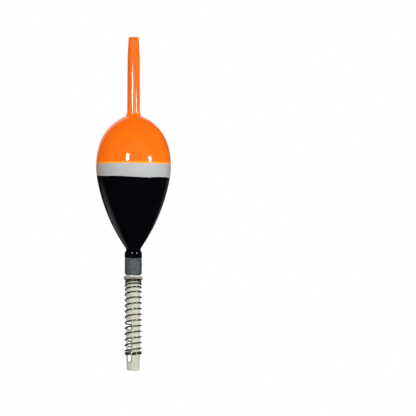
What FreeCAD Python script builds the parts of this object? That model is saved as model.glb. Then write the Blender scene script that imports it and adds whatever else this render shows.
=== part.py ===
"""Weighted spring float for fishing: a pear-shaped foam body on a slotted line tube, with a solid
antenna above, and a lead sleeve, a stop collar and a clamp spring on the tube below.

Millimetres. +Z runs up the stem. The origin is the centre of the line tube's open lower end.
-Y is the front of the float, and the slots in the tube lie to the left of its axis (-X).
"""
import FreeCAD, Part
import math
import os

import Sketcher

# alias, value, what it is
SIZES = [
    ("body_radius", 15.875, "largest radius of the foam body"),
    ("body_wide_z", 86.82, "height of the largest radius"),
    ("body_bottom_z", 50.75, "lower end of the body, on the lead sleeve"),
    ("body_top_z", 109.2, "top of the body, at the antenna"),
    ("neck_radius", 3.13, "radius at the lower end of the body"),
    ("neck_fillet", 1.9, "radius of the hollow curve above the neck"),
    ("neck_top_radius", 3.47, "radius where the hollow curve starts"),
    ("neck_top_z", 52.1, "height where the hollow curve starts"),
    ("flank_arc", 75.13, "arc radius of the long lower flank"),
    ("flank_radius", 15.253, "radius where the flank meets the belly"),
    ("flank_z", 80.323, "height where the flank meets the belly"),
    ("belly_arc", 34.29, "arc radius just below the widest point"),
    ("shoulder_arc", 29.37, "arc radius just above the widest point"),
    ("shoulder_radius", 14.241, "radius where the shoulder meets the crown"),
    ("shoulder_z", 96.484, "height where the shoulder meets the crown"),
    ("crown_arc", 18.758, "arc radius of the rounded crown"),
    ("crown_radius", 3.55, "radius where the crown meets the antenna's fillet"),
    ("crown_z", 107.7, "height where the crown meets the antenna's fillet"),
    ("crown_fillet", 2.4, "radius of the hollow curve up to the antenna"),
    ("crown_land_radius", 2.86, "outer radius of the body's top edge"),
    ("tube_radius", 2.92, "outer radius of the line tube"),
    ("tube_bore", 2.1, "bore radius of the tube's slotted lower end"),
    ("tube_bore_depth", 26.0, "depth of that bore, to just above the line notch"),
    ("tube_core", 1.7, "bore radius of the tube above it, where the wall is thicker"),
    ("tube_top_z", 97.0, "upper end of the tube, inside the body"),
    ("tube_lead_radius", 2.64, "radius at the foot of the tapered lower end"),
    ("tube_lead_z", 4.7, "height where the taper reaches full radius"),
    ("tube_edge_radius", 2.40, "radius of the flat end face"),
    ("tube_edge_z", 0.35, "height of the rounded lower edge"),
    ("tube_edge_arc", 0.32, "radius of the rounded lower edge"),
    ("slot_x", -1.48, "middle plane of the slots, left of the axis"),
    ("slot_turn", 5.0, "turn of the slots about the axis, in degrees"),
    ("slot_half_width", 0.79, "half the width of the slots"),
    ("slot_low_z", 4.05, "centre of the long slot's lower round"),
    ("slot_high_z", 12.7, "centre of the long slot's upper round"),
    ("notch_low_z", 17.64, "centre of the line notch's lower round"),
    ("notch_high_z", 19.61, "centre of the line notch's upper round"),
    ("mouth_low_z", 18.45, "lower lip of the notch's side mouth"),
    ("mouth_high_z", 20.4, "upper lip of the notch's side mouth"),
    ("mouth_outer_x", -4.5, "outer end of the mouth's cut, clear of the tube"),
    ("antenna_radius", 2.70, "radius of the antenna at the body"),
    ("antenna_draft_z", 110.0, "height where the antenna's taper starts"),
    ("antenna_neck_radius", 2.60, "radius where the tip's taper starts"),
    ("antenna_neck_z", 132.8, "height where the tip's taper starts"),
    ("antenna_tip_radius", 2.17, "radius at the tip's rounded edge"),
    ("antenna_tip_z", 141.25, "top of the antenna"),
    ("antenna_edge_z", 140.95, "height where the tip's rounded edge starts"),
    ("antenna_edge_arc", 0.33, "radius of the tip's rounded edge"),
    ("antenna_face_radius", 1.87, "radius of the flat top of the tip"),
    ("spigot_radius", 1.69, "radius of the antenna's spigot in the tube"),
    ("spigot_bottom_z", 84.0, "lower end of that spigot"),
    ("sleeve_radius", 3.625, "outer radius of the lead sleeve"),
    ("sleeve_bottom_z", 40.45, "lower end of the lead sleeve"),
    ("sleeve_edge", 0.6, "bevel of the sleeve's lower edge"),
    ("sleeve_shoulder_z", 49.35, "height where the sleeve's rounded shoulder starts"),
    ("sleeve_shoulder_arc", 2.3, "arc radius of the sleeve's shoulder"),
    ("collar_radius", 4.05, "outer radius of the stop collar"),
    ("collar_bore", 3.2, "bore radius of the stop collar"),
    ("collar_depth", 1.25, "height of the stop collar"),
    ("collar_edge", 0.35, "rounding of the collar's edges"),
    ("collar_z", 39.04, "middle height of the stop collar"),
    ("collar_tilt", 15.0, "tilt of the collar, front up, in degrees"),
    ("collar_roll", 2.0, "roll of the collar, left side up, in degrees"),
    ("wire_radius", 0.30, "radius of the spring wire"),
    ("grip_coil_radius", 3.225, "mean radius of the top coils, tight on the tube"),
    ("open_coil_radius", 3.35, "mean radius of the open and bottom coils"),
    ("top_coil_tilt", 15.4, "tilt of the top coils, front up, in degrees"),
    ("top_coil_z", 31.3, "height from which the coils have that tilt"),
    ("low_coil_tilt", 8.0, "tilt of the lowest open coil"),
    ("low_coil_z", 8.9, "height of the lowest open coil"),
    ("end_coil_tilt", 3.0, "tilt of the closed bottom coils"),
    ("end_coil_z", 7.7, "height up to which the coils have that tilt"),
    ("spring_top_z", 38.06, "height of the wire's top end"),
    ("spring_turns", 16.5, "turns in the whole wire"),
    ("grip_turns", 2.125, "turns in the gripping coils"),
    ("end_turns", 1.375, "turns in the free bottom coils"),
    ("closed_pitch", 0.62, "pitch of the closed coils at both ends"),
    ("open_pitch", 2.39, "pitch of the open coils"),
    ("top_closed_turns", 0.75, "closed turns at the top"),
    ("top_ramp_turns", 3.7, "turns over which the pitch opens at the top"),
    ("bottom_closed_turns", 1.61, "closed turns at the bottom"),
    ("bottom_ramp_turns", 0.7, "turns over which the pitch closes at the bottom"),
    ("top_end_angle", 337.5, "direction of the wire's top end, in degrees from +X"),
]

STEPS_PER_TURN = 16


def make_sheet(doc):
    """The spreadsheet of driving dimensions, one row to each."""
    sheet = doc.addObject("Spreadsheet::Sheet", "Sizes")
    for row, (alias, value, meaning) in enumerate(SIZES, start=1):
        sheet.set(f"A{row}", alias)
        sheet.set(f"B{row}", str(value))
        sheet.set(f"C{row}", meaning)
        sheet.setAlias(f"B{row}", alias)
    doc.recompute()
    return sheet


def make_body(doc, label):
    body = doc.addObject("PartDesign::Body", label)
    body.Label = label
    return body


def make_sketch(body, name, turn_alias=None):
    """A sketch on the body's own XZ plane: its x is +X and its y is +Z. It can be turned about +Z."""
    sketch = body.newObject("Sketcher::SketchObject", name)
    plane = next(f for f in body.Origin.OriginFeatures if f.Role == "XZ_Plane")
    sketch.AttachmentSupport = [(plane, "")]
    sketch.MapMode = "FlatFace"
    if turn_alias:
        sketch.setExpression(".AttachmentOffset.Rotation.Axis.x", "0")
        sketch.setExpression(".AttachmentOffset.Rotation.Axis.y", "1")
        sketch.setExpression(".AttachmentOffset.Rotation.Axis.z", "0")
        sketch.setExpression(".AttachmentOffset.Rotation.Angle", f"Sizes.{turn_alias}")
    return sketch


def bind(sketch, constraint, alias):
    """Adds a dimension to a sketch and ties it to its cell."""
    index = sketch.addConstraint(constraint)
    sketch.setExpression(f"Constraints[{index}]", f"Sizes.{alias} * 1 mm")


def place_point(sketch, sheet, edge, end, x_alias, z_alias):
    """Holds one end of an edge at the coordinates in two cells. None stands for the axis, or z = 0."""
    if x_alias is None:
        sketch.addConstraint(Sketcher.Constraint("PointOnObject", edge, end, -2))
    else:
        bind(sketch, Sketcher.Constraint("DistanceX", -1, 1, edge, end, sheet.get(x_alias)), x_alias)
    if z_alias is None:
        sketch.addConstraint(Sketcher.Constraint("PointOnObject", edge, end, -1))
    else:
        bind(sketch, Sketcher.Constraint("DistanceY", -1, 1, edge, end, sheet.get(z_alias)), z_alias)


def arc_between(start, end, radius, side):
    """The shorter arc from start to end. side 1 turns left on the way and side -1 turns right."""
    chord = end - start
    middle = start + chord * 0.5
    rise = radius - math.sqrt(radius**2 - (chord.Length / 2) ** 2)
    across = FreeCAD.Vector(chord.y, -chord.x, 0).normalize()
    return Part.Arc(start, middle + across * rise * side, end)


def draw_outline(sketch, sheet, corners):
    """A closed outline. Each corner is (x alias, z alias, arc alias or None, side of the arc), and the
    arc is the edge that leaves the corner."""
    points = []
    for x_alias, z_alias, _, _ in corners:
        x = sheet.get(x_alias) if x_alias else 0.0
        z = sheet.get(z_alias) if z_alias else 0.0
        points.append(FreeCAD.Vector(x, z, 0))
    ends = []
    for index, (_, _, arc_alias, side) in enumerate(corners):
        start = points[index]
        end = points[(index + 1) % len(points)]
        if arc_alias:
            edge = sketch.addGeometry(arc_between(start, end, sheet.get(arc_alias), side))
            ends.append((edge, 1, 2) if side > 0 else (edge, 2, 1))
        else:
            edge = sketch.addGeometry(Part.LineSegment(start, end))
            ends.append((edge, 1, 2))
    for index, (edge, first, last) in enumerate(ends):
        following, following_first, _ = ends[(index + 1) % len(ends)]
        joint = Sketcher.Constraint("Coincident", edge, last, following, following_first)
        sketch.addConstraint(joint)
        x_alias, z_alias, arc_alias, _ = corners[index]
        place_point(sketch, sheet, edge, first, x_alias, z_alias)
        if arc_alias:
            bind(sketch, Sketcher.Constraint("Radius", edge, sheet.get(arc_alias)), arc_alias)


def draw_slot(sketch, sheet, x_alias, low_alias, high_alias, half_width_alias):
    """An upright slot with round ends, from the centres of its two rounds."""
    x = sheet.get(x_alias)
    half = sheet.get(half_width_alias)
    low = FreeCAD.Vector(x, sheet.get(low_alias), 0)
    high = FreeCAD.Vector(x, sheet.get(high_alias), 0)
    out = FreeCAD.Vector(half, 0, 0)
    up = FreeCAD.Vector(0, half, 0)
    bottom = sketch.addGeometry(Part.Arc(low - out, low - up, low + out))
    right = sketch.addGeometry(Part.LineSegment(low + out, high + out))
    top = sketch.addGeometry(Part.Arc(high + out, high + up, high - out))
    left = sketch.addGeometry(Part.LineSegment(high - out, low - out))
    for edge, following in ((bottom, right), (right, top), (top, left), (left, bottom)):
        sketch.addConstraint(Sketcher.Constraint("Tangent", edge, 2, following, 1))
    bind(sketch, Sketcher.Constraint("DistanceX", -1, 1, bottom, 3, x), x_alias)
    bind(sketch, Sketcher.Constraint("DistanceY", -1, 1, bottom, 3, low.y), low_alias)
    bind(sketch, Sketcher.Constraint("DistanceX", -1, 1, top, 3, x), x_alias)
    bind(sketch, Sketcher.Constraint("DistanceY", -1, 1, top, 3, high.y), high_alias)
    bind(sketch, Sketcher.Constraint("Radius", bottom, half), half_width_alias)


def revolve(body, sketch, name):
    feature = body.newObject("PartDesign::Revolution", name)
    feature.Profile = sketch
    feature.ReferenceAxis = (sketch, ["V_Axis"])
    feature.Angle = 360
    sketch.Visibility = False
    return feature


def cut_through(body, sketch, name):
    """A pocket through the whole body, on both sides of its sketch."""
    before = body.Shape.Volume
    feature = body.newObject("PartDesign::Pocket", name)
    feature.Profile = sketch
    feature.Type = "ThroughAll"
    feature.Midplane = True
    sketch.Visibility = False
    body.Document.recompute()
    if body.Shape.Volume >= before:
        raise RuntimeError(f"{name} removes nothing")


def make_float_body(doc, sheet):
    """The foam pear: rounded crown, long lower flank, and a stepped bore for tube and antenna."""
    body = make_body(doc, "float_body")
    sketch = make_sketch(body, "float_body_outline")
    draw_outline(sketch, sheet, [
        ("tube_radius", "body_bottom_z", None, 0),
        ("neck_radius", "body_bottom_z", "neck_fillet", -1),
        ("neck_top_radius", "neck_top_z", "flank_arc", 1),
        ("flank_radius", "flank_z", "belly_arc", 1),
        ("body_radius", "body_wide_z", "shoulder_arc", 1),
        ("shoulder_radius", "shoulder_z", "crown_arc", 1),
        ("crown_radius", "crown_z", "crown_fillet", -1),
        ("crown_land_radius", "body_top_z", None, 0),
        ("antenna_radius", "body_top_z", None, 0),
        ("antenna_radius", "tube_top_z", None, 0),
        ("tube_radius", "tube_top_z", None, 0),
    ])
    revolve(body, sketch, "float_body_turn")
    return body


def make_antenna(doc, sheet):
    """The solid plastic stem above the body, with a tapered tip and a spigot in the tube's bore."""
    body = make_body(doc, "antenna")
    sketch = make_sketch(body, "antenna_outline")
    draw_outline(sketch, sheet, [
        (None, "spigot_bottom_z", None, 0),
        ("spigot_radius", "spigot_bottom_z", None, 0),
        ("spigot_radius", "tube_top_z", None, 0),
        ("antenna_radius", "tube_top_z", None, 0),
        ("antenna_radius", "antenna_draft_z", None, 0),
        ("antenna_neck_radius", "antenna_neck_z", None, 0),
        ("antenna_tip_radius", "antenna_edge_z", "antenna_edge_arc", 1),
        ("antenna_face_radius", "antenna_tip_z", None, 0),
        (None, "antenna_tip_z", None, 0),
    ])
    revolve(body, sketch, "antenna_turn")
    return body


def make_line_tube(doc, sheet):
    """The hollow tube through the lower body, with a long slot and a side-opening line notch. Its bore
    is wider at the slotted lower end, and its upper end takes the antenna's spigot."""
    body = make_body(doc, "line_tube")
    sketch = make_sketch(body, "line_tube_outline")
    draw_outline(sketch, sheet, [
        ("tube_bore", None, None, 0),
        ("tube_edge_radius", None, "tube_edge_arc", 1),
        ("tube_lead_radius", "tube_edge_z", None, 0),
        ("tube_radius", "tube_lead_z", None, 0),
        ("tube_radius", "tube_top_z", None, 0),
        ("tube_core", "tube_top_z", None, 0),
        ("tube_core", "tube_bore_depth", None, 0),
        ("tube_bore", "tube_bore_depth", None, 0),
    ])
    revolve(body, sketch, "line_tube_turn")
    doc.recompute()
    for name, low_alias, high_alias in (
        ("long_slot", "slot_low_z", "slot_high_z"),
        ("line_notch", "notch_low_z", "notch_high_z"),
    ):
        slot = make_sketch(body, f"{name}_outline", "slot_turn")
        draw_slot(slot, sheet, "slot_x", low_alias, high_alias, "slot_half_width")
        cut_through(body, slot, name)
    mouth = make_sketch(body, "notch_mouth_outline", "slot_turn")
    draw_outline(mouth, sheet, [
        ("mouth_outer_x", "mouth_low_z", None, 0),
        ("slot_x", "mouth_low_z", None, 0),
        ("slot_x", "mouth_high_z", None, 0),
        ("mouth_outer_x", "mouth_high_z", None, 0),
    ])
    cut_through(body, mouth, "notch_mouth")
    return body


def make_weight_sleeve(doc, sheet):
    """The lead sleeve on the tube, directly under the body: rounded shoulder, bevelled foot."""
    body = make_body(doc, "weight_sleeve")
    sketch = make_sketch(body, "weight_sleeve_outline")
    draw_outline(sketch, sheet, [
        ("tube_radius", "sleeve_bottom_z", None, 0),
        ("sleeve_radius", "sleeve_bottom_z", None, 0),
        ("sleeve_radius", "sleeve_shoulder_z", "sleeve_shoulder_arc", 1),
        ("neck_radius", "body_bottom_z", None, 0),
        ("tube_radius", "body_bottom_z", None, 0),
    ])
    turned = revolve(body, sketch, "weight_sleeve_turn")
    doc.recompute()
    foot = foot_edge(turned.Shape, sheet.get("sleeve_radius"), sheet.get("sleeve_bottom_z"))
    bevel = body.newObject("PartDesign::Chamfer", "weight_sleeve_bevel")
    bevel.Base = (turned, [foot])
    bevel.setExpression("Size", "Sizes.sleeve_edge * 1 mm")
    return body


def foot_edge(shape, radius, z):
    """The name of the round edge of the given radius at height z."""
    for index, edge in enumerate(shape.Edges, start=1):
        curve = edge.Curve
        if isinstance(curve, Part.Circle) and math.isclose(curve.Radius, radius, abs_tol=1e-4):
            if math.isclose(curve.Center.z, z, abs_tol=1e-4):
                return f"Edge{index}"
    raise RuntimeError("no such edge")


def make_stop_collar(doc, sheet):
    """The ring between the lead sleeve and the spring, cocked on the tube."""
    outer = doc.addObject("Part::Cylinder", "collar_outside")
    outer.setExpression("Radius", "Sizes.collar_radius")
    outer.setExpression("Height", "Sizes.collar_depth")
    inner = doc.addObject("Part::Cylinder", "collar_inside")
    inner.setExpression("Radius", "Sizes.collar_bore")
    inner.setExpression("Height", "Sizes.collar_depth")
    ring = doc.addObject("Part::Cut", "collar_ring")
    ring.Base = outer
    ring.Tool = inner
    doc.recompute()
    rounding = sheet.get("collar_edge")
    rounded = doc.addObject("Part::Fillet", "stop_collar")
    rounded.Base = ring
    circles = [
        (index, rounding, rounding)
        for index, edge in enumerate(ring.Shape.Edges, start=1)
        if isinstance(edge.Curve, Part.Circle)
    ]
    rounded.Edges = circles
    rounded.Label = "stop_collar"
    depth = sheet.get("collar_depth")
    tilt = FreeCAD.Rotation(FreeCAD.Vector(1, 0, 0), -sheet.get("collar_tilt"))
    roll = FreeCAD.Rotation(FreeCAD.Vector(0, 1, 0), sheet.get("collar_roll"))
    turn = tilt * roll
    middle = FreeCAD.Vector(0, 0, sheet.get("collar_z"))
    rounded.Placement = FreeCAD.Placement(middle - turn.multVec(FreeCAD.Vector(0, 0, depth / 2)), turn)
    return rounded


def share(value):
    """The value, held between 0 and 1."""
    return min(max(value, 0.0), 1.0)


def smooth(value):
    """0 below 0, 1 above 1, and an S-shaped rise between."""
    value = share(value)
    return value * value * (3 - 2 * value)


def coil_pitch(sheet, turn):
    """The pitch after a number of turns from the top: closed, then open, then closed again."""
    closed = sheet.get("closed_pitch")
    last_open_turn = sheet.get("spring_turns") - sheet.get("bottom_closed_turns")
    opening = share((turn - sheet.get("top_closed_turns")) / sheet.get("top_ramp_turns"))
    closing = share((last_open_turn - turn) / sheet.get("bottom_ramp_turns"))
    return closed + (sheet.get("open_pitch") - closed) * opening * closing


def coil_slope(sheet, height):
    """How steeply a coil leans: hardly at the closed bottom, then more and more on the way up."""
    end_z, low_z, top_z = (sheet.get(f"{place}_coil_z") for place in ("end", "low", "top"))
    end_tilt, low_tilt, top_tilt = (sheet.get(f"{place}_coil_tilt") for place in ("end", "low", "top"))
    tilt = end_tilt + (low_tilt - end_tilt) * smooth((height - end_z) / (low_z - end_z))
    tilt += (top_tilt - low_tilt) * share((height - low_z) / (top_z - low_z))
    return math.tan(math.radians(tilt))


def coil_radius(sheet, turn):
    """The coil's mean radius: tight at the top, opening out within one turn of the grip's end."""
    grip = sheet.get("grip_coil_radius")
    widening = smooth(turn - sheet.get("grip_turns") + 1.0)
    return grip + (sheet.get("open_coil_radius") - grip) * widening


def spring_path(sheet):
    """Points down the wire's centre line, from its top end. The wire is right-handed, and its coils
    lean front up."""
    points = []
    height = sheet.get("spring_top_z")
    for step in range(round(sheet.get("spring_turns") * STEPS_PER_TURN) + 1):
        turn = step / STEPS_PER_TURN
        angle = math.radians(sheet.get("top_end_angle")) - 2 * math.pi * turn
        radius = coil_radius(sheet, turn)
        x = radius * math.cos(angle)
        y = radius * math.sin(angle)
        points.append(FreeCAD.Vector(x, y, height - y * coil_slope(sheet, height)))
        height -= coil_pitch(sheet, turn + 0.5 / STEPS_PER_TURN) / STEPS_PER_TURN
    return points


def sweep_wire(curve, first, last, radius):
    """A round wire along a stretch of a curve, as one closed solid."""
    edge = curve.toShape(first, last)
    start = curve.value(first)
    along = curve.tangent(first)[0]
    section = Part.Wire(Part.Circle(start, along, radius).toShape())
    pipe = Part.BRepOffsetAPI.MakePipeShell(Part.Wire(edge))
    pipe.setFrenetMode(True)
    pipe.add(section)
    pipe.build()
    pipe.makeSolid()
    solid = pipe.shape()
    expected = math.pi * radius**2 * edge.Length
    if abs(solid.Volume - expected) > 0.02 * expected:
        raise RuntimeError(f"the wire's volume is {solid.Volume:.3f} and not {expected:.3f}")
    return solid


def make_spring(doc, sheet):
    """One steel wire in three groups of coils: the tight top ones that hold the spring on the tube,
    the open ones that give, and the closed bottom ones that slide up the tube."""
    curve = Part.BSplineCurve()
    curve.interpolate(spring_path(sheet))
    knots = curve.getKnots()
    open_end = sheet.get("spring_turns") - sheet.get("end_turns")
    groups = [
        ("spring_grip_coils", 0.0, sheet.get("grip_turns")),
        ("spring_open_coils", sheet.get("grip_turns"), open_end),
        ("spring_end_coils", open_end, sheet.get("spring_turns")),
    ]
    features = []
    for label, first_turn, last_turn in groups:
        first = knots[round(first_turn * STEPS_PER_TURN)]
        last = knots[round(last_turn * STEPS_PER_TURN)]
        feature = doc.addObject("Part::Feature", label)
        feature.Label = label
        feature.Shape = sweep_wire(curve, first, last, sheet.get("wire_radius"))
        feature.Placement = FreeCAD.Placement()
        features.append(feature)
        joint = curve.value(last)
        print(f"{label} ends at {joint.x:.2f}, {joint.y:.2f}, {joint.z:.2f}")
    return features


def check(doc, pieces):
    for item in doc.Objects:
        if "Invalid" in item.State or "Error" in item.State:
            raise RuntimeError(f"{item.Label} failed: {item.State}")
    for piece in pieces:
        if piece.Shape.isNull() or not piece.Shape.isValid():
            raise RuntimeError(f"{piece.Label} has no valid shape")


def main():
    doc = FreeCAD.newDocument("spring_float")
    sheet = make_sheet(doc)
    pieces = [
        make_float_body(doc, sheet),
        make_antenna(doc, sheet),
        make_line_tube(doc, sheet),
        make_weight_sleeve(doc, sheet),
        make_stop_collar(doc, sheet),
    ]
    pieces += make_spring(doc, sheet)
    doc.recompute()
    check(doc, pieces)
    os.makedirs("parts", exist_ok=True)
    for piece in pieces:
        piece.Shape.exportStep(f"parts/{piece.Label}.step")
        solid_count = len(piece.Shape.Solids)
        print(f"{piece.Label}: {piece.Shape.Volume:.1f} mm3, {solid_count} solid")


main()
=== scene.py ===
"""The looks of a weighted spring float: painted foam body, plastic antenna and tube, cast lead sleeve,
stop collar and wire spring. The float's own lengths are in millimetres, and to_m turns them into
metres. The floor, the lights and the camera are in metres."""

import math

import bmesh
import bpy
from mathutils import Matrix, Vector, noise


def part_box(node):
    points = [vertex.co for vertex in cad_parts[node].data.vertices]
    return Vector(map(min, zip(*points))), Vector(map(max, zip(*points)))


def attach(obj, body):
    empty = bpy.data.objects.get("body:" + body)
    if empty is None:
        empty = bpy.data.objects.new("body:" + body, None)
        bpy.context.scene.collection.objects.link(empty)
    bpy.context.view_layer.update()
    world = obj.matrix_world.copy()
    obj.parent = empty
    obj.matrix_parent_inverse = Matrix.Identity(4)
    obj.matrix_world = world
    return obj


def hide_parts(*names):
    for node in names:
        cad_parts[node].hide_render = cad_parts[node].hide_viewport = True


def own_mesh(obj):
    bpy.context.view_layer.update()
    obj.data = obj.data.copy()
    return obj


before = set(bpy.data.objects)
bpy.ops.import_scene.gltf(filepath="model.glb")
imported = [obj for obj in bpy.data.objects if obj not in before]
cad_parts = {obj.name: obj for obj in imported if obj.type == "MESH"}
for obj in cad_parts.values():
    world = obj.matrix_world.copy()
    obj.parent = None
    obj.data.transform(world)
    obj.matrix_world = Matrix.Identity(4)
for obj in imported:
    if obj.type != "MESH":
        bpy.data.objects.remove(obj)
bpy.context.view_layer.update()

MM = 0.001

# The room's glows: azimuth to the right of the front, elevation, the angles from its middle where it
# is full and where it ends, and its brightness. Angles are in degrees.
ROOM_GLOWS = [
    (-171, 26, 8, 34, 0.75),
    (-132, -31, 3, 26, 0.36),
    (152, -10, 3, 18, 0.12),
]
ROOM_DARKNESS = 0.012

# The two bodies that pieces ride on.
ROOT = "float"
SLIDER = "spring_end"

# The floor and what the lights face, in metres.
FLOOR_Z, FLOOR_RADIUS = -0.25, 1.6
LIGHT_AIM_Z = 0.085


def node_mm(node):
    """A CAD node's lowest and highest corner, in millimetres."""
    low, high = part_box(node)
    return low / MM, high / MM


BODY_LOW, BODY_HIGH = node_mm("float_body")
ANTENNA_LOW, ANTENNA_HIGH = node_mm("antenna")
TUBE_HIGH = node_mm("line_tube")[1]
SLEEVE_LOW, SLEEVE_HIGH = node_mm("weight_sleeve")
TUBE_RADIUS = TUBE_HIGH.x
SLEEVE_RADIUS = SLEEVE_HIGH.x
BODY_RADIUS = BODY_HIGH.x

# ---------------------------------------------------------------- small tools


def to_m(x, y, z):
    """A point in metres, from millimetres."""
    return Vector((x * MM, y * MM, z * MM))


def share(value):
    """The value, held between 0 and 1."""
    return min(max(value, 0.0), 1.0)


def smooth(value):
    """0 below 0, 1 above 1, and an S-shaped rise between."""
    value = share(value)
    return value * value * (3 - 2 * value)


def hump(distance, reach):
    """1 at no distance, falling smoothly to 0 at the reach."""
    return smooth(1 - abs(distance) / reach)


def spread(start, end, step):
    """Evenly spaced numbers from start to end, both included, about a step apart."""
    count = max(1, math.ceil(abs(end - start) / step))
    return [start + (end - start) * i / count for i in range(count + 1)]


def rising(stretches, end):
    """Heights from the first stretch's start to the end. Each stretch is (its start, the step in it)."""
    heights = []
    ends = [start for start, _ in stretches[1:]] + [end]
    for (start, step), stop in zip(stretches, ends):
        heights += spread(start, stop, step)[:-1]
    return heights + [end]


def lumps(x, y, z, size, seed):
    """Smooth noise from -1 to 1, with features about the given size."""
    return noise.noise(Vector((x / size + seed, y / size - seed, z / size)))


def finish_mesh(name, mesh_data, materials, body, stands_for):
    """Makes a smooth-shaded object of a bmesh, gives it its body, and hides the CAD nodes that it stands
    for.
    """
    bmesh.ops.recalc_face_normals(mesh_data, faces=mesh_data.faces)
    mesh = bpy.data.meshes.new(name)
    mesh_data.to_mesh(mesh)
    mesh_data.free()
    mesh.shade_smooth()
    for material in materials:
        mesh.materials.append(material)
    piece = bpy.data.objects.new(name, mesh)
    bpy.context.scene.collection.objects.link(piece)
    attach(piece, body)
    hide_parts(*stands_for)
    return piece


def lathe(rings, segments, place, faces_from=None, closed=True):
    """Turns rings about the axis. place(ring, angle) gives a point in millimetres, and faces_from(ring)
    the material's index of the faces that start at a ring. A closed lathe joins its last ring to its
    first, and an open one ends on the axis at both ends."""
    mesh_data = bmesh.new()
    rows = []
    for ring in rings:
        row = []
        for step in range(segments):
            row.append(mesh_data.verts.new(to_m(*place(ring, 2 * math.pi * step / segments))))
        rows.append(row)
    pairs = list(zip(rows, rows[1:]))
    if closed:
        pairs.append((rows[-1], rows[0]))
    for index, (upper, lower) in enumerate(pairs):
        for step in range(segments):
            beside = (step + 1) % segments
            face = mesh_data.faces.new((upper[step], upper[beside], lower[beside], lower[step]))
            if faces_from:
                face.material_index = faces_from(rings[index])
    if not closed:
        for row in (rows[0], rows[-1]):
            middle = sum((v.co for v in row), Vector()) / segments
            tip = mesh_data.verts.new(middle)
            for step in range(segments):
                mesh_data.faces.new((row[step], row[(step + 1) % segments], tip))
    return mesh_data


def around(radius, height, angle):
    """A point's three coordinates, from its distance from the axis, its height and its angle."""
    return radius * math.cos(angle), radius * math.sin(angle), height


# ---------------------------------------------------------------- materials


class Shader:
    """A principled material, with the few node set-ups that the finishes here share."""

    def __init__(self, name):
        self.material = bpy.data.materials.new(name)
        self.material.use_nodes = True
        self.tree = self.material.node_tree
        self.surface = self.tree.nodes["Principled BSDF"]
        self.place = self.add("ShaderNodeTexCoord").outputs["Object"]

    def add(self, kind, **values):
        """A node of a kind. A value sets the input of that name, or an attribute of the node."""
        node = self.tree.nodes.new(kind)
        for name, value in values.items():
            label = name.replace("_", " ").title()
            if label in node.inputs:
                node.inputs[label].default_value = value
            else:
                setattr(node, name, value)
        return node

    def link(self, source, target):
        self.tree.links.new(source, target)

    def set(self, **values):
        """Constant values on the surface's own sockets."""
        for name, value in values.items():
            label = name.replace("_", " ").title().replace("Ior", "IOR")
            self.surface.inputs[label].default_value = value

    def noise(self, size_mm, detail=3.0, stretch=(1, 1, 1), roughness=0.5):
        """Noise with features of a size in millimetres, finer along an axis whose stretch is over 1."""
        mapping = self.add("ShaderNodeMapping")
        mapping.inputs["Scale"].default_value = stretch
        self.link(self.place, mapping.inputs["Vector"])
        node = self.add("ShaderNodeTexNoise", scale=1 / (size_mm * MM), detail=detail)
        node.inputs["Roughness"].default_value = roughness
        self.link(mapping.outputs["Vector"], node.inputs["Vector"])
        return node.outputs["Fac"]

    def ramp(self, source, stops):
        """A colour ramp. Stops are (position, colour), and a number stands for a grey."""
        node = self.add("ShaderNodeValToRGB")
        elements = node.color_ramp.elements
        while len(elements) < len(stops):
            elements.new(0.5)
        for element, (position, colour) in zip(elements, stops):
            element.position = position
            grey = isinstance(colour, (int, float))
            element.color = (colour, colour, colour, 1) if grey else (*colour, 1)
        self.link(source, node.inputs["Fac"])
        return node.outputs["Color"]

    def mix(self, amount, first, second):
        """A mix of two colours, each a link or a constant, by an amount that is a link or a number."""
        node = self.add("ShaderNodeMix", data_type="RGBA")
        factor, colour_a, colour_b, colour_result = 0, 6, 7, 2
        for socket, value in ((factor, amount), (colour_a, first), (colour_b, second)):
            if isinstance(value, bpy.types.NodeSocket):
                self.link(value, node.inputs[socket])
            elif socket == factor:
                node.inputs[socket].default_value = value
            else:
                node.inputs[socket].default_value = (*value, 1)
        return node.outputs[colour_result]

    def math(self, operation, first, second, clamp=False):
        """A sum or product of two values, each a link or a number."""
        node = self.add("ShaderNodeMath", operation=operation, use_clamp=clamp)
        for socket, value in zip((0, 1), (first, second)):
            if isinstance(value, bpy.types.NodeSocket):
                self.link(value, node.inputs[socket])
            else:
                node.inputs[socket].default_value = value
        return node.outputs[0]

    def attribute(self, name):
        """A number that is kept on the mesh's points."""
        return self.add("ShaderNodeAttribute", attribute_name=name).outputs["Fac"]

    def axis(self, name):
        """The object's own coordinate along X, Y or Z, in metres."""
        node = self.add("ShaderNodeSeparateXYZ")
        self.link(self.place, node.inputs[0])
        return node.outputs[name]

    def beyond(self, axis, start, end):
        """0 at a coordinate in millimetres, rising evenly to 1 at another."""
        node = self.add("ShaderNodeMapRange")
        self.link(self.axis(axis), node.inputs["Value"])
        node.inputs["From Min"].default_value = start * MM
        node.inputs["From Max"].default_value = end * MM
        return node.outputs["Result"]

    def colour(self, source):
        """The surface's own colour."""
        self.link(source, self.surface.inputs["Base Color"])

    def roughness(self, source, low, high):
        """Roughness between two values, by a source from 0 to 1."""
        node = self.add("ShaderNodeMapRange")
        self.link(source, node.inputs["Value"])
        node.inputs["To Min"].default_value = low
        node.inputs["To Max"].default_value = high
        self.link(node.outputs["Result"], self.surface.inputs["Roughness"])

    def bump(self, *layers):
        """Bumps on top of each other, each (source, height in millimetres)."""
        normal = None
        for source, height in layers:
            node = self.add("ShaderNodeBump", strength=1.0, distance=height * MM)
            self.link(source, node.inputs["Height"])
            if normal:
                self.link(normal, node.inputs["Normal"])
            normal = node.outputs["Normal"]
        self.link(normal, self.surface.inputs["Normal"])


def orange_peel(s):
    """The bumps of sprayed enamel: a fine peel on a slow swell."""
    return (s.noise(1.6, detail=1.0), 0.0015), (s.noise(6.0, detail=1.0), 0.01)


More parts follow.
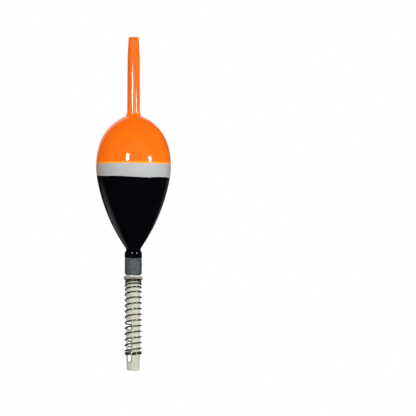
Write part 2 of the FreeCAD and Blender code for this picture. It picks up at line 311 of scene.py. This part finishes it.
def orange_paint():
    """Fluorescent orange gloss enamel, thinner and yellower along its edge over the white, with a painted
    glow that stands in for its fluorescence.
    """
    s = Shader("orange_paint")
    cloud = s.noise(9.0, detail=2.0)
    deep = s.ramp(cloud, [(0.3, (0.80, 0.135, 0.005)), (0.7, (0.86, 0.165, 0.006))])
    thin = s.mix(s.attribute("edge"), deep, (0.90, 0.46, 0.012))
    speck = s.ramp(s.noise(0.35, detail=1.0), [(0.72, 0.0), (0.8, 1.0)])
    s.colour(s.mix(s.math("MULTIPLY", speck, 0.10), thin, (0.75, 0.10, 0.004)))
    s.roughness(s.noise(2.5), 0.07, 0.14)
    s.set(coat_weight=0.35, coat_roughness=0.04)
    # A painted glow: it stands in for the paint's fluorescence and lifts the orange where the lights
    # leave it dim.
    s.set(emission_color=(1.0, 0.14, 0.004, 1), emission_strength=0.36)
    s.bump(*orange_peel(s))
    return s.material


def white_paint():
    """White undercoat that shows as the band, tinted orange towards its left and right sides, with a
    painted shade line along the mask's ridge.
    """
    s = Shader("white_paint")
    base = s.ramp(s.noise(5.0), [(0.3, (0.56, 0.575, 0.58)), (0.7, (0.61, 0.62, 0.615))])
    # Tinted orange towards the left and right sides.
    side_share = s.math("ADD", s.beyond("X", -11.5, -BODY_RADIUS), s.beyond("X", 14.0, BODY_RADIUS))
    cloud = s.ramp(s.noise(3.0, detail=4.0), [(0.3, 0.6), (0.7, 1.0)])
    tinted = s.mix(s.math("MULTIPLY", side_share, cloud, clamp=True), base, (0.72, 0.44, 0.38))
    # A painted shade line: the white turns grey along the mask's ridge, as though the ridge shaded it.
    s.colour(s.mix(s.math("MULTIPLY", s.attribute("ridge"), 0.15), tinted, (0.34, 0.35, 0.37)))
    s.roughness(s.noise(2.5), 0.10, 0.18)
    s.set(coat_weight=0.3, coat_roughness=0.05)
    s.bump(*orange_peel(s))
    return s.material


def black_paint():
    """Deep black gloss enamel with a slight orange-peel and a few dust nibs."""
    s = Shader("black_paint")
    s.colour(s.ramp(s.noise(7.0), [(0.3, (0.0012, 0.0014, 0.0026)), (0.7, (0.0022, 0.0026, 0.0046))]))
    s.roughness(s.noise(3.0), 0.05, 0.11)
    nibs = s.ramp(s.noise(0.9, detail=0.0), [(0.80, 0.0), (0.86, 1.0)])
    s.bump((s.noise(2.0, detail=1.0), 0.004), (s.noise(8.0, detail=1.0), 0.02), (nibs, 0.012))
    return s.material


def antenna_plastic():
    """Fluorescent orange moulded plastic: a little translucent, with fine draw lines along it, and a
    painted glow that stands in for its fluorescence.
    """
    s = Shader("antenna_plastic")
    cloud = s.noise(6.0, stretch=(1, 1, 0.2))
    s.colour(s.ramp(cloud, [(0.3, (0.90, 0.165, 0.016)), (0.7, (0.97, 0.20, 0.022))]))
    s.roughness(s.noise(1.5, stretch=(1, 1, 0.1)), 0.07, 0.12)
    s.set(subsurface_weight=0.3, subsurface_radius=(1.0, 0.25, 0.05), subsurface_scale=1.0 * MM)
    s.set(coat_weight=0.2, coat_roughness=0.03)
    # A painted glow that stands in for the plastic's fluorescence.
    s.set(emission_color=(1.0, 0.10, 0.006, 1), emission_strength=0.18)
    s.bump((s.noise(0.5, stretch=(1, 1, 0.05)), 0.0006), (s.noise(5.0, detail=1.0), 0.002))
    return s.material


def cast_lead():
    """Dull cast lead: bluish grey oxide in patches, and a faint vertical drag from the mould."""
    s = Shader("cast_lead")
    patches = s.ramp(s.noise(1.6, detail=5.0, roughness=0.6), [
        (0.32, (0.066, 0.080, 0.088)),
        (0.52, (0.098, 0.114, 0.124)),
        (0.72, (0.160, 0.178, 0.190)),
    ])
    grain = s.noise(0.25, detail=2.0)
    s.colour(s.mix(0.2, patches, s.ramp(grain, [(0.35, 0.06), (0.65, 0.18)])))
    s.set(metallic=0.35)
    s.roughness(grain, 0.45, 0.65)
    pits = s.ramp(s.noise(0.7, detail=0.0), [(0.26, 0.0), (0.36, 1.0)])
    drag = s.noise(0.5, stretch=(1, 1, 0.12))
    s.bump((pits, 0.02), (s.noise(0.35, detail=3.0), 0.02), (drag, 0.015))
    return s.material


def ivory_plastic(name, tint):
    """Smooth off-white plastic, faintly cloudy, with turning marks around it. A faint painted glow stands
    in for the light that passes through its thin walls, and lifts the shade on them."""
    s = Shader(name)
    low = tuple(channel * 0.95 for channel in tint)
    s.colour(s.ramp(s.noise(4.0, detail=2.0, stretch=(0.3, 0.3, 1)), [(0.3, low), (0.7, tint)]))
    s.roughness(s.noise(1.5, detail=2.0), 0.34, 0.42)
    # A faint painted glow: it stands in for light through the thin walls and lifts their shade.
    s.set(specular_ior_level=0.9, emission_color=(*tint, 1), emission_strength=0.07)
    s.bump((s.noise(0.5, detail=2.0, stretch=(0.05, 0.05, 1)), 0.003), (s.noise(3.0), 0.01))
    return s.material


def spring_steel():
    """Drawn wire with an oily bloom on it, die lines and a little dull oxide."""
    s = Shader("spring_steel")
    oxide = s.noise(1.1, detail=4.0)
    s.colour(s.ramp(oxide, [(0.35, (0.30, 0.28, 0.18)), (0.7, (0.52, 0.49, 0.36))]))
    s.set(metallic=1.0)
    s.roughness(oxide, 0.18, 0.25)
    s.bump((s.noise(0.3, detail=2.0), 0.001))
    return s.material


# ---------------------------------------------------------------- the painted body

FLANK_ARC, FLANK_RADIUS, FLANK_Z = 75.13, 15.253, 80.323
BELLY_ARC, WIDE_Z, SHOULDER_ARC = 34.29, 86.82, 29.37
SHOULDER_RADIUS, SHOULDER_Z = 14.241, 96.484
CROWN_ARC, CROWN_RADIUS, CROWN_Z = 18.758, 3.55, 107.7
CROWN_FILLET, CROWN_LAND_RADIUS = 2.4, 2.86
NECK_RADIUS, NECK_FILLET, NECK_TOP_RADIUS, NECK_TOP_Z = 3.13, 1.9, 3.47, 52.1
STEM_BORE_RADIUS = 2.70

ORANGE_EDGE_Z = 87.5
BLACK_EDGE_Z = 81.95
RIDGE_ABOVE_BLACK = 1.05
EDGE_REACH = 3.0
FILM = 0.03
ORANGE, WHITE, BLACK = range(3)

# Two heights closer than this are the same, in millimetres.
SAME = 1e-6


def arc_centre(start, end, radius, side):
    """The centre of the arc between two (r, z) points. side 1 bulges outwards, -1 inwards."""
    middle = Vector((start[0] + end[0], start[1] + end[1])) / 2
    chord = Vector((end[0] - start[0], end[1] - start[1]))
    depth = math.sqrt(radius**2 - chord.length_squared / 4)
    across = Vector((-chord.y, chord.x)).normalized()
    return middle + across * depth * side


def body_arcs():
    """The outline from the neck up: for each arc, its highest z, its centre, radius and side."""
    points = [
        (NECK_RADIUS, BODY_LOW.z),
        (NECK_TOP_RADIUS, NECK_TOP_Z),
        (FLANK_RADIUS, FLANK_Z),
        (BODY_RADIUS, WIDE_Z),
        (SHOULDER_RADIUS, SHOULDER_Z),
        (CROWN_RADIUS, CROWN_Z),
        (CROWN_LAND_RADIUS, BODY_HIGH.z),
    ]
    radii = [NECK_FILLET, FLANK_ARC, BELLY_ARC, SHOULDER_ARC, CROWN_ARC, CROWN_FILLET]
    sides = [-1, 1, 1, 1, 1, -1]
    arcs = []
    for start, end, radius, side in zip(points, points[1:], radii, sides):
        centre = arc_centre(start, end, radius, side)
        arcs.append((end[1], centre, radius, side))
    return arcs


BODY_ARCS = body_arcs()


def body_radius(z):
    """The bare body's outer radius at a height."""
    for top, centre, radius, side in BODY_ARCS:
        if z <= top:
            break
    inside = max(radius**2 - (z - centre[1]) ** 2, 0.0)
    return centre[0] + side * math.sqrt(inside)


def orange_edge(angle):
    """How far the orange paint's edge wanders from its mean height."""
    return -0.1 * math.cos(angle) + 0.015 * math.sin(3 * angle + 0.6)


def black_edge(angle):
    """How far the black paint's edge wanders. It is higher on the left than on the right."""
    wave = -0.08 * math.sin(3 * angle) - 0.12 * math.cos(5 * angle)
    return -0.42 * math.cos(angle) + 0.05 * math.sin(angle) + wave


def painted_height(z, angle):
    """The height of a point of the outline once the paint edges' wander has carried it along."""
    up = orange_edge(angle) * hump(z - ORANGE_EDGE_Z, EDGE_REACH)
    return z + up + black_edge(angle) * hump(z - BLACK_EDGE_Z, EDGE_REACH)


def film_thickness(z):
    """Paint on top of the white coat: orange above its edge, black below its own with a small lip,
    and a fine ridge in the white where the mask lay."""
    orange = FILM * smooth((z - ORANGE_EDGE_Z) / 0.25)
    black = FILM * smooth((BLACK_EDGE_Z - z) / 0.2) + 0.008 * hump(z - BLACK_EDGE_Z + 0.25, 0.35)
    ridge = 0.008 * hump(z - BLACK_EDGE_Z - RIDGE_ABOVE_BLACK, 0.2)
    return orange + black + ridge


def body_heights():
    """Ring heights from the neck up, close together where the paint has its edges."""
    fine = 0.05
    above_ridge = BLACK_EDGE_Z + RIDGE_ABOVE_BLACK + 0.25
    stretches = [
        (BODY_LOW.z, 0.1),
        (NECK_TOP_Z, 0.7),
        (BLACK_EDGE_Z - 0.6, fine),
        (BLACK_EDGE_Z, fine),
        (above_ridge, 0.4),
        (ORANGE_EDGE_Z, fine),
        (ORANGE_EDGE_Z + 1.0, 0.6),
        (SHOULDER_Z, 0.25),
        (CROWN_Z, 0.08),
    ]
    return rising(stretches, BODY_HIGH.z)


def set_attribute(piece, name, value_at):
    """A float on each point of a piece's mesh, from its place in millimetres."""
    values = [value_at(vertex.co / MM) for vertex in piece.data.vertices]
    attribute = piece.data.attributes.new(name, "FLOAT", "POINT")
    attribute.data.foreach_set("value", values)


def make_body():
    """The foam body's shell: three paints on one outline, the antenna's socket and the tube's bore."""
    segments = 224
    outside = [(z, None) for z in body_heights()]
    inside = [
        (BODY_HIGH.z, STEM_BORE_RADIUS),
        (TUBE_HIGH.z, STEM_BORE_RADIUS),
        (TUBE_HIGH.z, TUBE_RADIUS),
        (BODY_LOW.z, TUBE_RADIUS),
    ]

    def place(ring, angle):
        z, bore = ring
        if bore:
            return around(bore, z, angle)
        height = painted_height(z, angle)
        radius = body_radius(height) + film_thickness(z)
        across = radius * math.cos(angle), radius * math.sin(angle)
        swell = 0.02 * lumps(*across, height, 9.0, 3.0) * hump(z - WIDE_Z, 30.0)
        return around(radius + swell, height, angle)

    def colour_of(ring):
        z, bore = ring
        if bore or z >= ORANGE_EDGE_Z - SAME:
            return ORANGE
        return WHITE if z >= BLACK_EDGE_Z - SAME else BLACK

    paints = [orange_paint(), white_paint(), black_paint()]
    mesh_data = lathe(outside + inside, segments, place, colour_of)
    piece = finish_mesh("painted_body", mesh_data, paints, ROOT, ["float_body"])

    def near_orange_edge(point):
        edge = ORANGE_EDGE_Z + orange_edge(math.atan2(point.y, point.x))
        return 1 - smooth((point.z - edge) / 1.1)

    # Where the painted shade line lies, along the mask's ridge.
    def near_ridge_shade(point):
        edge = BLACK_EDGE_Z + black_edge(math.atan2(point.y, point.x))
        return hump(point.z - edge - RIDGE_ABOVE_BLACK, 0.22)

    set_attribute(piece, "edge", near_orange_edge)
    set_attribute(piece, "ridge", near_ridge_shade)


# ---------------------------------------------------------------- antenna, sleeve

ANTENNA_RADIUS, ANTENNA_DRAFT_Z = 2.70, 110.0
ANTENNA_NECK_RADIUS, ANTENNA_NECK_Z = 2.60, 132.8
TIP_RADIUS, TIP_EDGE = 2.17, 0.3
SPIGOT_RADIUS = 1.69
TIP_SOFTNESS = 0.02


def antenna_radius(z):
    """Straight in the body, a slight draft above it, then the tip's taper, with a soft bend between."""
    if z <= ANTENNA_DRAFT_Z:
        return ANTENNA_RADIUS
    draft = (ANTENNA_RADIUS - ANTENNA_NECK_RADIUS) / (ANTENNA_NECK_Z - ANTENNA_DRAFT_Z)
    tip = (ANTENNA_NECK_RADIUS - TIP_RADIUS) / (ANTENNA_HIGH.z - TIP_EDGE - ANTENNA_NECK_Z)
    along_draft = ANTENNA_RADIUS - draft * (z - ANTENNA_DRAFT_Z)
    along_tip = ANTENNA_NECK_RADIUS - tip * (z - ANTENNA_NECK_Z)
    gap = along_draft - along_tip
    return (along_draft + along_tip - math.sqrt(gap**2 + TIP_SOFTNESS**2)) / 2


def make_antenna():
    """The stem: its spigot in the tube, the stem itself, its rounded edge and its dished top."""
    foot = [(SPIGOT_RADIUS, ANTENNA_LOW.z), (SPIGOT_RADIUS, TUBE_HIGH.z)]
    stem_top = ANTENNA_HIGH.z - TIP_EDGE
    stem = [(antenna_radius(z), z) for z in spread(TUBE_HIGH.z, stem_top, 0.5)]
    edge_radius = antenna_radius(stem_top)
    edge = [
        (edge_radius - TIP_EDGE * (1 - math.cos(turn)), stem_top + TIP_EDGE * math.sin(turn))
        for turn in spread(0, math.pi / 2, math.pi / 16)[1:]
    ]
    face = [(r, ANTENNA_HIGH.z - 0.05 * smooth(1 - r / 1.2)) for r in (1.5, 1.1, 0.8, 0.5, 0.2)]

    def place(ring, angle):
        radius, z = ring
        wobble = 0.006 * lumps(math.cos(angle), math.sin(angle), z, 7.0, 5.0)
        return around(radius + (wobble if z > TUBE_HIGH.z else 0.0), z, angle)

    mesh_data = lathe(foot + stem + edge + face, 96, place, closed=False)
    finish_mesh("antenna_stem", mesh_data, [antenna_plastic()], ROOT, ["antenna"])


SLEEVE_SHOULDER_Z, SLEEVE_SHOULDER_ARC = 49.35, 2.3
SLEEVE_BEVEL = 0.6
SLEEVE_BEVEL_SLOPE = 0.95
DIP_EDGE_Z = 47.6
DIP_FILM = 0.045
LEAD, DIP = range(2)


def sleeve_radius(z):
    """The bare sleeve's outer radius: bevelled foot, straight side, rounded shoulder."""
    if z < SLEEVE_LOW.z + SLEEVE_BEVEL:
        return SLEEVE_RADIUS - (SLEEVE_LOW.z + SLEEVE_BEVEL - z) * SLEEVE_BEVEL_SLOPE
    if z <= SLEEVE_SHOULDER_Z:
        return SLEEVE_RADIUS
    drop = SLEEVE_SHOULDER_ARC**2 - (z - SLEEVE_SHOULDER_Z) ** 2
    return SLEEVE_RADIUS - SLEEVE_SHOULDER_ARC + math.sqrt(drop)


def dip_edge(angle):
    """How far the lower edge of the black dip wanders."""
    return 0.10 * math.sin(2 * angle + 0.8) + 0.05 * math.sin(5 * angle)


def make_sleeve():
    """The sleeve: bare cast lead below, and the black dip with its bead over the shoulder."""
    fine = 0.06
    stretches = [
        (SLEEVE_LOW.z, 0.1),
        (SLEEVE_LOW.z + SLEEVE_BEVEL, 0.15),
        (DIP_EDGE_Z - 0.6, fine),
        (DIP_EDGE_Z + 1.0, fine),
    ]
    outside = rising(stretches, SLEEVE_HIGH.z)
    rings = [(z, None) for z in outside]
    rings += [(SLEEVE_HIGH.z, TUBE_RADIUS), (SLEEVE_LOW.z, TUBE_RADIUS)]

    def place(ring, angle):
        z, bore = ring
        if bore:
            return around(bore, z, angle)
        height = z + dip_edge(angle) * hump(z - DIP_EDGE_Z, 1.2)
        radius = sleeve_radius(height)
        x, y, _ = around(radius, height, angle)
        bare = smooth((DIP_EDGE_Z - z) / 0.3)
        cast = 0.045 * lumps(x, y, height, 1.6, 8.0) + 0.02 * lumps(x, y, height, 0.5, 2.0)
        burr = 0.10 * hump(height - 44.6, 1.6) * hump(angle, 0.5)
        film = DIP_FILM * smooth((z - DIP_EDGE_Z) / 0.18)
        bead = 0.05 * hump(z - DIP_EDGE_Z - 0.45, 0.42)
        return around(radius + (cast + burr) * bare + film + bead, height, angle)

    def colour_of(ring):
        z, bore = ring
        return DIP if not bore and z >= DIP_EDGE_Z - SAME else LEAD

    materials = [cast_lead(), bpy.data.materials["black_paint"]]
    mesh_data = lathe(rings, 128, place, colour_of)
    finish_mesh("lead_sleeve", mesh_data, materials, ROOT, ["weight_sleeve"])


# ---------------------------------------------------------------- the spring

WIRE_RADIUS = 0.30
GRIP_COIL_RADIUS, OPEN_COIL_RADIUS = 3.225, 3.35
END_COIL_Z, LOW_COIL_Z, TOP_COIL_Z = 7.7, 8.9, 31.3
END_COIL_TILT, LOW_COIL_TILT, TOP_COIL_TILT = 3.0, 8.0, 15.4
SPRING_TOP_Z, TOP_END_ANGLE = 38.06, math.radians(337.5)
SPRING_TURNS, GRIP_TURNS, END_TURNS = 16.5, 2.125, 1.375
CLOSED_PITCH, OPEN_PITCH = 0.62, 2.39
TOP_CLOSED_TURNS, TOP_RAMP_TURNS = 0.75, 3.7
BOTTOM_CLOSED_TURNS, BOTTOM_RAMP_TURNS = 1.61, 0.7
STEPS_PER_TURN = 48
WIRE_SIDES = 20


def coil_pitch(turn):
    """The pitch after a number of turns from the top: closed, then open, then closed again."""
    opening = share((turn - TOP_CLOSED_TURNS) / TOP_RAMP_TURNS)
    closing = share((SPRING_TURNS - BOTTOM_CLOSED_TURNS - turn) / BOTTOM_RAMP_TURNS)
    return CLOSED_PITCH + (OPEN_PITCH - CLOSED_PITCH) * opening * closing


def coil_slope(height):
    """How steeply a coil leans: hardly at the closed bottom, then more and more on the way up."""
    low_share = smooth((height - END_COIL_Z) / (LOW_COIL_Z - END_COIL_Z))
    top_share = share((height - LOW_COIL_Z) / (TOP_COIL_Z - LOW_COIL_Z))
    tilt = END_COIL_TILT + (LOW_COIL_TILT - END_COIL_TILT) * low_share
    return math.tan(math.radians(tilt + (TOP_COIL_TILT - LOW_COIL_TILT) * top_share))


def spring_line():
    """Points down the wire's centre line from its top end. Its coils lean front up."""
    points = []
    height = SPRING_TOP_Z
    for step in range(round(SPRING_TURNS * STEPS_PER_TURN) + 1):
        turn = step / STEPS_PER_TURN
        angle = TOP_END_ANGLE - 2 * math.pi * turn
        widening = smooth(turn - GRIP_TURNS + 1.0)
        radius = GRIP_COIL_RADIUS + (OPEN_COIL_RADIUS - GRIP_COIL_RADIUS) * widening
        x, y, _ = around(radius, 0, angle)
        points.append(Vector((x, y, height - y * coil_slope(height))))
        height -= coil_pitch(turn + 0.5 / STEPS_PER_TURN) / STEPS_PER_TURN
    return points


def wire(points, first, last):
    """A round wire along a stretch of the line, closed by flat ends with sharp edges."""
    mesh_data = bmesh.new()
    rows = []
    for index in range(first, last + 1):
        before = points[max(index - 1, 0)]
        after = points[min(index + 1, len(points) - 1)]
        along = (after - before).normalized()
        outward = Vector((points[index].x, points[index].y, 0)).normalized()
        outward = (outward - along * outward.dot(along)).normalized()
        up = along.cross(outward)
        row = []
        for side in range(WIRE_SIDES):
            turn = 2 * math.pi * side / WIRE_SIDES
            offset = (outward * math.cos(turn) + up * math.sin(turn)) * WIRE_RADIUS
            row.append(mesh_data.verts.new((points[index] + offset) * MM))
        rows.append(row)
    for upper, lower in zip(rows, rows[1:]):
        for side in range(WIRE_SIDES):
            beside = (side + 1) % WIRE_SIDES
            mesh_data.faces.new((upper[side], upper[beside], lower[beside], lower[side]))
    for row in (rows[0], rows[-1]):
        cap = mesh_data.faces.new(row)
        for edge in cap.edges:
            edge.smooth = False
    return mesh_data


def make_spring():
    """One wire in three pieces. The end turns ride on the slider, and the middle one, which would shorten
    towards the grip as they slide up, gets a mesh of its own.
    """
    line = spring_line()
    steel = spring_steel()
    grip_end = round(GRIP_TURNS * STEPS_PER_TURN)
    open_end = round((SPRING_TURNS - END_TURNS) * STEPS_PER_TURN)
    stretches = [
        ("spring_grip", 0, grip_end, ROOT, "spring_grip_coils"),
        ("spring_open", grip_end, open_end, ROOT, "spring_open_coils"),
        ("spring_end_turns", open_end, len(line) - 1, SLIDER, "spring_end_coils"),
    ]
    pieces = {}
    for name, first, last, body, node in stretches:
        mesh_data = wire(line, first, last)
        pieces[name] = finish_mesh(name, mesh_data, [steel], body, [node])
    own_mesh(pieces["spring_open"])


# ---------------------------------------------------------------- CAD nodes that stay


def refinish(node, material):
    """Gives a CAD node that keeps its shape its own material."""
    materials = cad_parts[node].data.materials
    materials.clear()
    materials.append(material)


# ---------------------------------------------------------------- stage, light, camera


def make_floor():
    """A pale round floor far below. It glows a little, so that it stays pale out to its edge, and is
    left out of reflections and of the light on the float, so that the gloss stays deep."""
    place = (0, 0, FLOOR_Z)
    bpy.ops.mesh.primitive_circle_add(radius=FLOOR_RADIUS, vertices=128, fill_type="NGON", location=place)
    floor = bpy.context.object
    floor.name = "floor"
    floor.visible_glossy = False
    floor.visible_diffuse = False
    s = Shader("floor_paper")
    s.colour(s.ramp(s.noise(60.0), [(0.3, 0.86), (0.7, 0.9)]))
    s.set(roughness=0.8, emission_color=(1, 1, 1, 1), emission_strength=0.6)
    floor.data.materials.append(s.material)


def direction(azimuth, elevation):
    """A unit vector. Azimuth is in degrees to the right of the front, and elevation up from level."""
    turn, lift = math.radians(azimuth), math.radians(elevation)
    return Vector((math.sin(turn) * math.cos(lift), -math.cos(turn) * math.cos(lift), math.sin(lift)))


def make_world():
    """A white room, seen as plain white. The float is lit and mirrored by a dark one with soft glows
    in it, as between the panels of a light tent."""
    world = bpy.data.worlds.new("studio")
    bpy.context.scene.world = world
    world.use_nodes = True
    tree = world.node_tree
    tree.nodes.clear()
    towards = tree.nodes.new("ShaderNodeTexCoord").outputs["Generated"]
    total = None
    for azimuth, elevation, inner, outer, brightness in ROOM_GLOWS:
        near = tree.nodes.new("ShaderNodeVectorMath")
        near.operation = "DOT_PRODUCT"
        near.inputs[1].default_value = direction(azimuth, elevation)
        tree.links.new(towards, near.inputs[0])
        glow = tree.nodes.new("ShaderNodeMapRange")
        glow.interpolation_type = "SMOOTHSTEP"
        glow.inputs["From Min"].default_value = math.cos(math.radians(outer))
        glow.inputs["From Max"].default_value = math.cos(math.radians(inner))
        glow.inputs["To Max"].default_value = brightness
        tree.links.new(near.outputs["Value"], glow.inputs["Value"])
        both = tree.nodes.new("ShaderNodeMath")
        both.inputs[1].default_value = ROOM_DARKNESS
        tree.links.new(glow.outputs["Result"], both.inputs[0])
        if total:
            tree.links.new(total, both.inputs[1])
        total = both.outputs[0]
    path = tree.nodes.new("ShaderNodeLightPath")
    seen = tree.nodes.new("ShaderNodeMix")
    seen.inputs["B"].default_value = 1.0
    tree.links.new(path.outputs["Is Camera Ray"], seen.inputs["Factor"])
    tree.links.new(total, seen.inputs["A"])
    background = tree.nodes.new("ShaderNodeBackground")
    background.inputs["Color"].default_value = (1, 1, 1, 1)
    tree.links.new(seen.outputs["Result"], background.inputs["Strength"])
    output = tree.nodes.new("ShaderNodeOutputWorld")
    tree.links.new(background.outputs["Background"], output.inputs["Surface"])


def add_light(name, azimuth, height, distance, width, tall, power):
    """A panel that faces the float. Azimuth is in degrees to the right of the front, lengths are in
    metres and power is in watts."""
    data = bpy.data.lights.new(name, "AREA")
    data.shape = "RECTANGLE"
    data.size = width
    data.size_y = tall
    data.energy = power
    light = bpy.data.objects.new(name, data)
    light.location = direction(azimuth, 0) * distance + Vector((0, 0, height))
    aim = Vector((0, 0, LIGHT_AIM_Z)) - light.location
    light.rotation_euler = aim.to_track_quat("-Z", "Y").to_euler()
    bpy.context.scene.collection.objects.link(light)
    return light


def make_lights():
    """Two small lamps that only make highlights, and big soft panels that only light."""
    for light in (
        add_light("lamp_left", -17.0, 0.131, 0.19, 0.018, 0.032, 0.18),
        add_light("lamp_right", 50.0, 0.119, 0.19, 0.018, 0.024, 0.15),
    ):
        light.visible_diffuse = False
    for light in (
        add_light("soft_front", 14.0, 0.42, 0.9, 0.9, 0.9, 8.5),
        add_light("soft_left", -75.0, 0.20, 0.9, 0.8, 0.8, 3.5),
        add_light("soft_right", 80.0, 0.20, 0.9, 0.8, 0.8, 2.6),
        add_light("soft_back_left", -138.0, 0.12, 0.9, 0.8, 0.8, 3.0),
        add_light("soft_below", 32.0, -0.20, 0.6, 0.8, 0.6, 1.3),
        add_light("soft_back_right", 142.0, 0.12, 0.9, 0.8, 0.8, 2.5),
    ):
        light.visible_glossy = False


def make_camera():
    """Square on and far off, rolled by a hair, with the float left of the frame's middle."""
    distance, frame_width, frame_middle_z = 0.656, 0.1766, 0.0688
    roll = math.radians(-0.1)
    data = bpy.data.cameras.new("camera")
    data.sensor_width = 36.0
    data.lens = data.sensor_width * distance / frame_width
    data.shift_x = 0.1794
    camera = bpy.data.objects.new("camera", data)
    camera.location = (0, -distance, frame_middle_z)
    camera.rotation_euler = (math.pi / 2, roll, 0)
    bpy.context.scene.collection.objects.link(camera)
    bpy.context.scene.camera = camera


def main():
    bpy.context.scene.view_settings.view_transform = "Standard"
    make_body()
    make_antenna()
    make_sleeve()
    make_spring()
    refinish("line_tube", ivory_plastic("tube_plastic", (0.66, 0.66, 0.56)))
    # The collar's ivory is a darker copy of the tube's: the darkness is painted shade.
    refinish("stop_collar", ivory_plastic("collar_plastic", (0.46, 0.45, 0.38)))
    make_floor()
    make_world()
    make_lights()
    make_camera()


main()
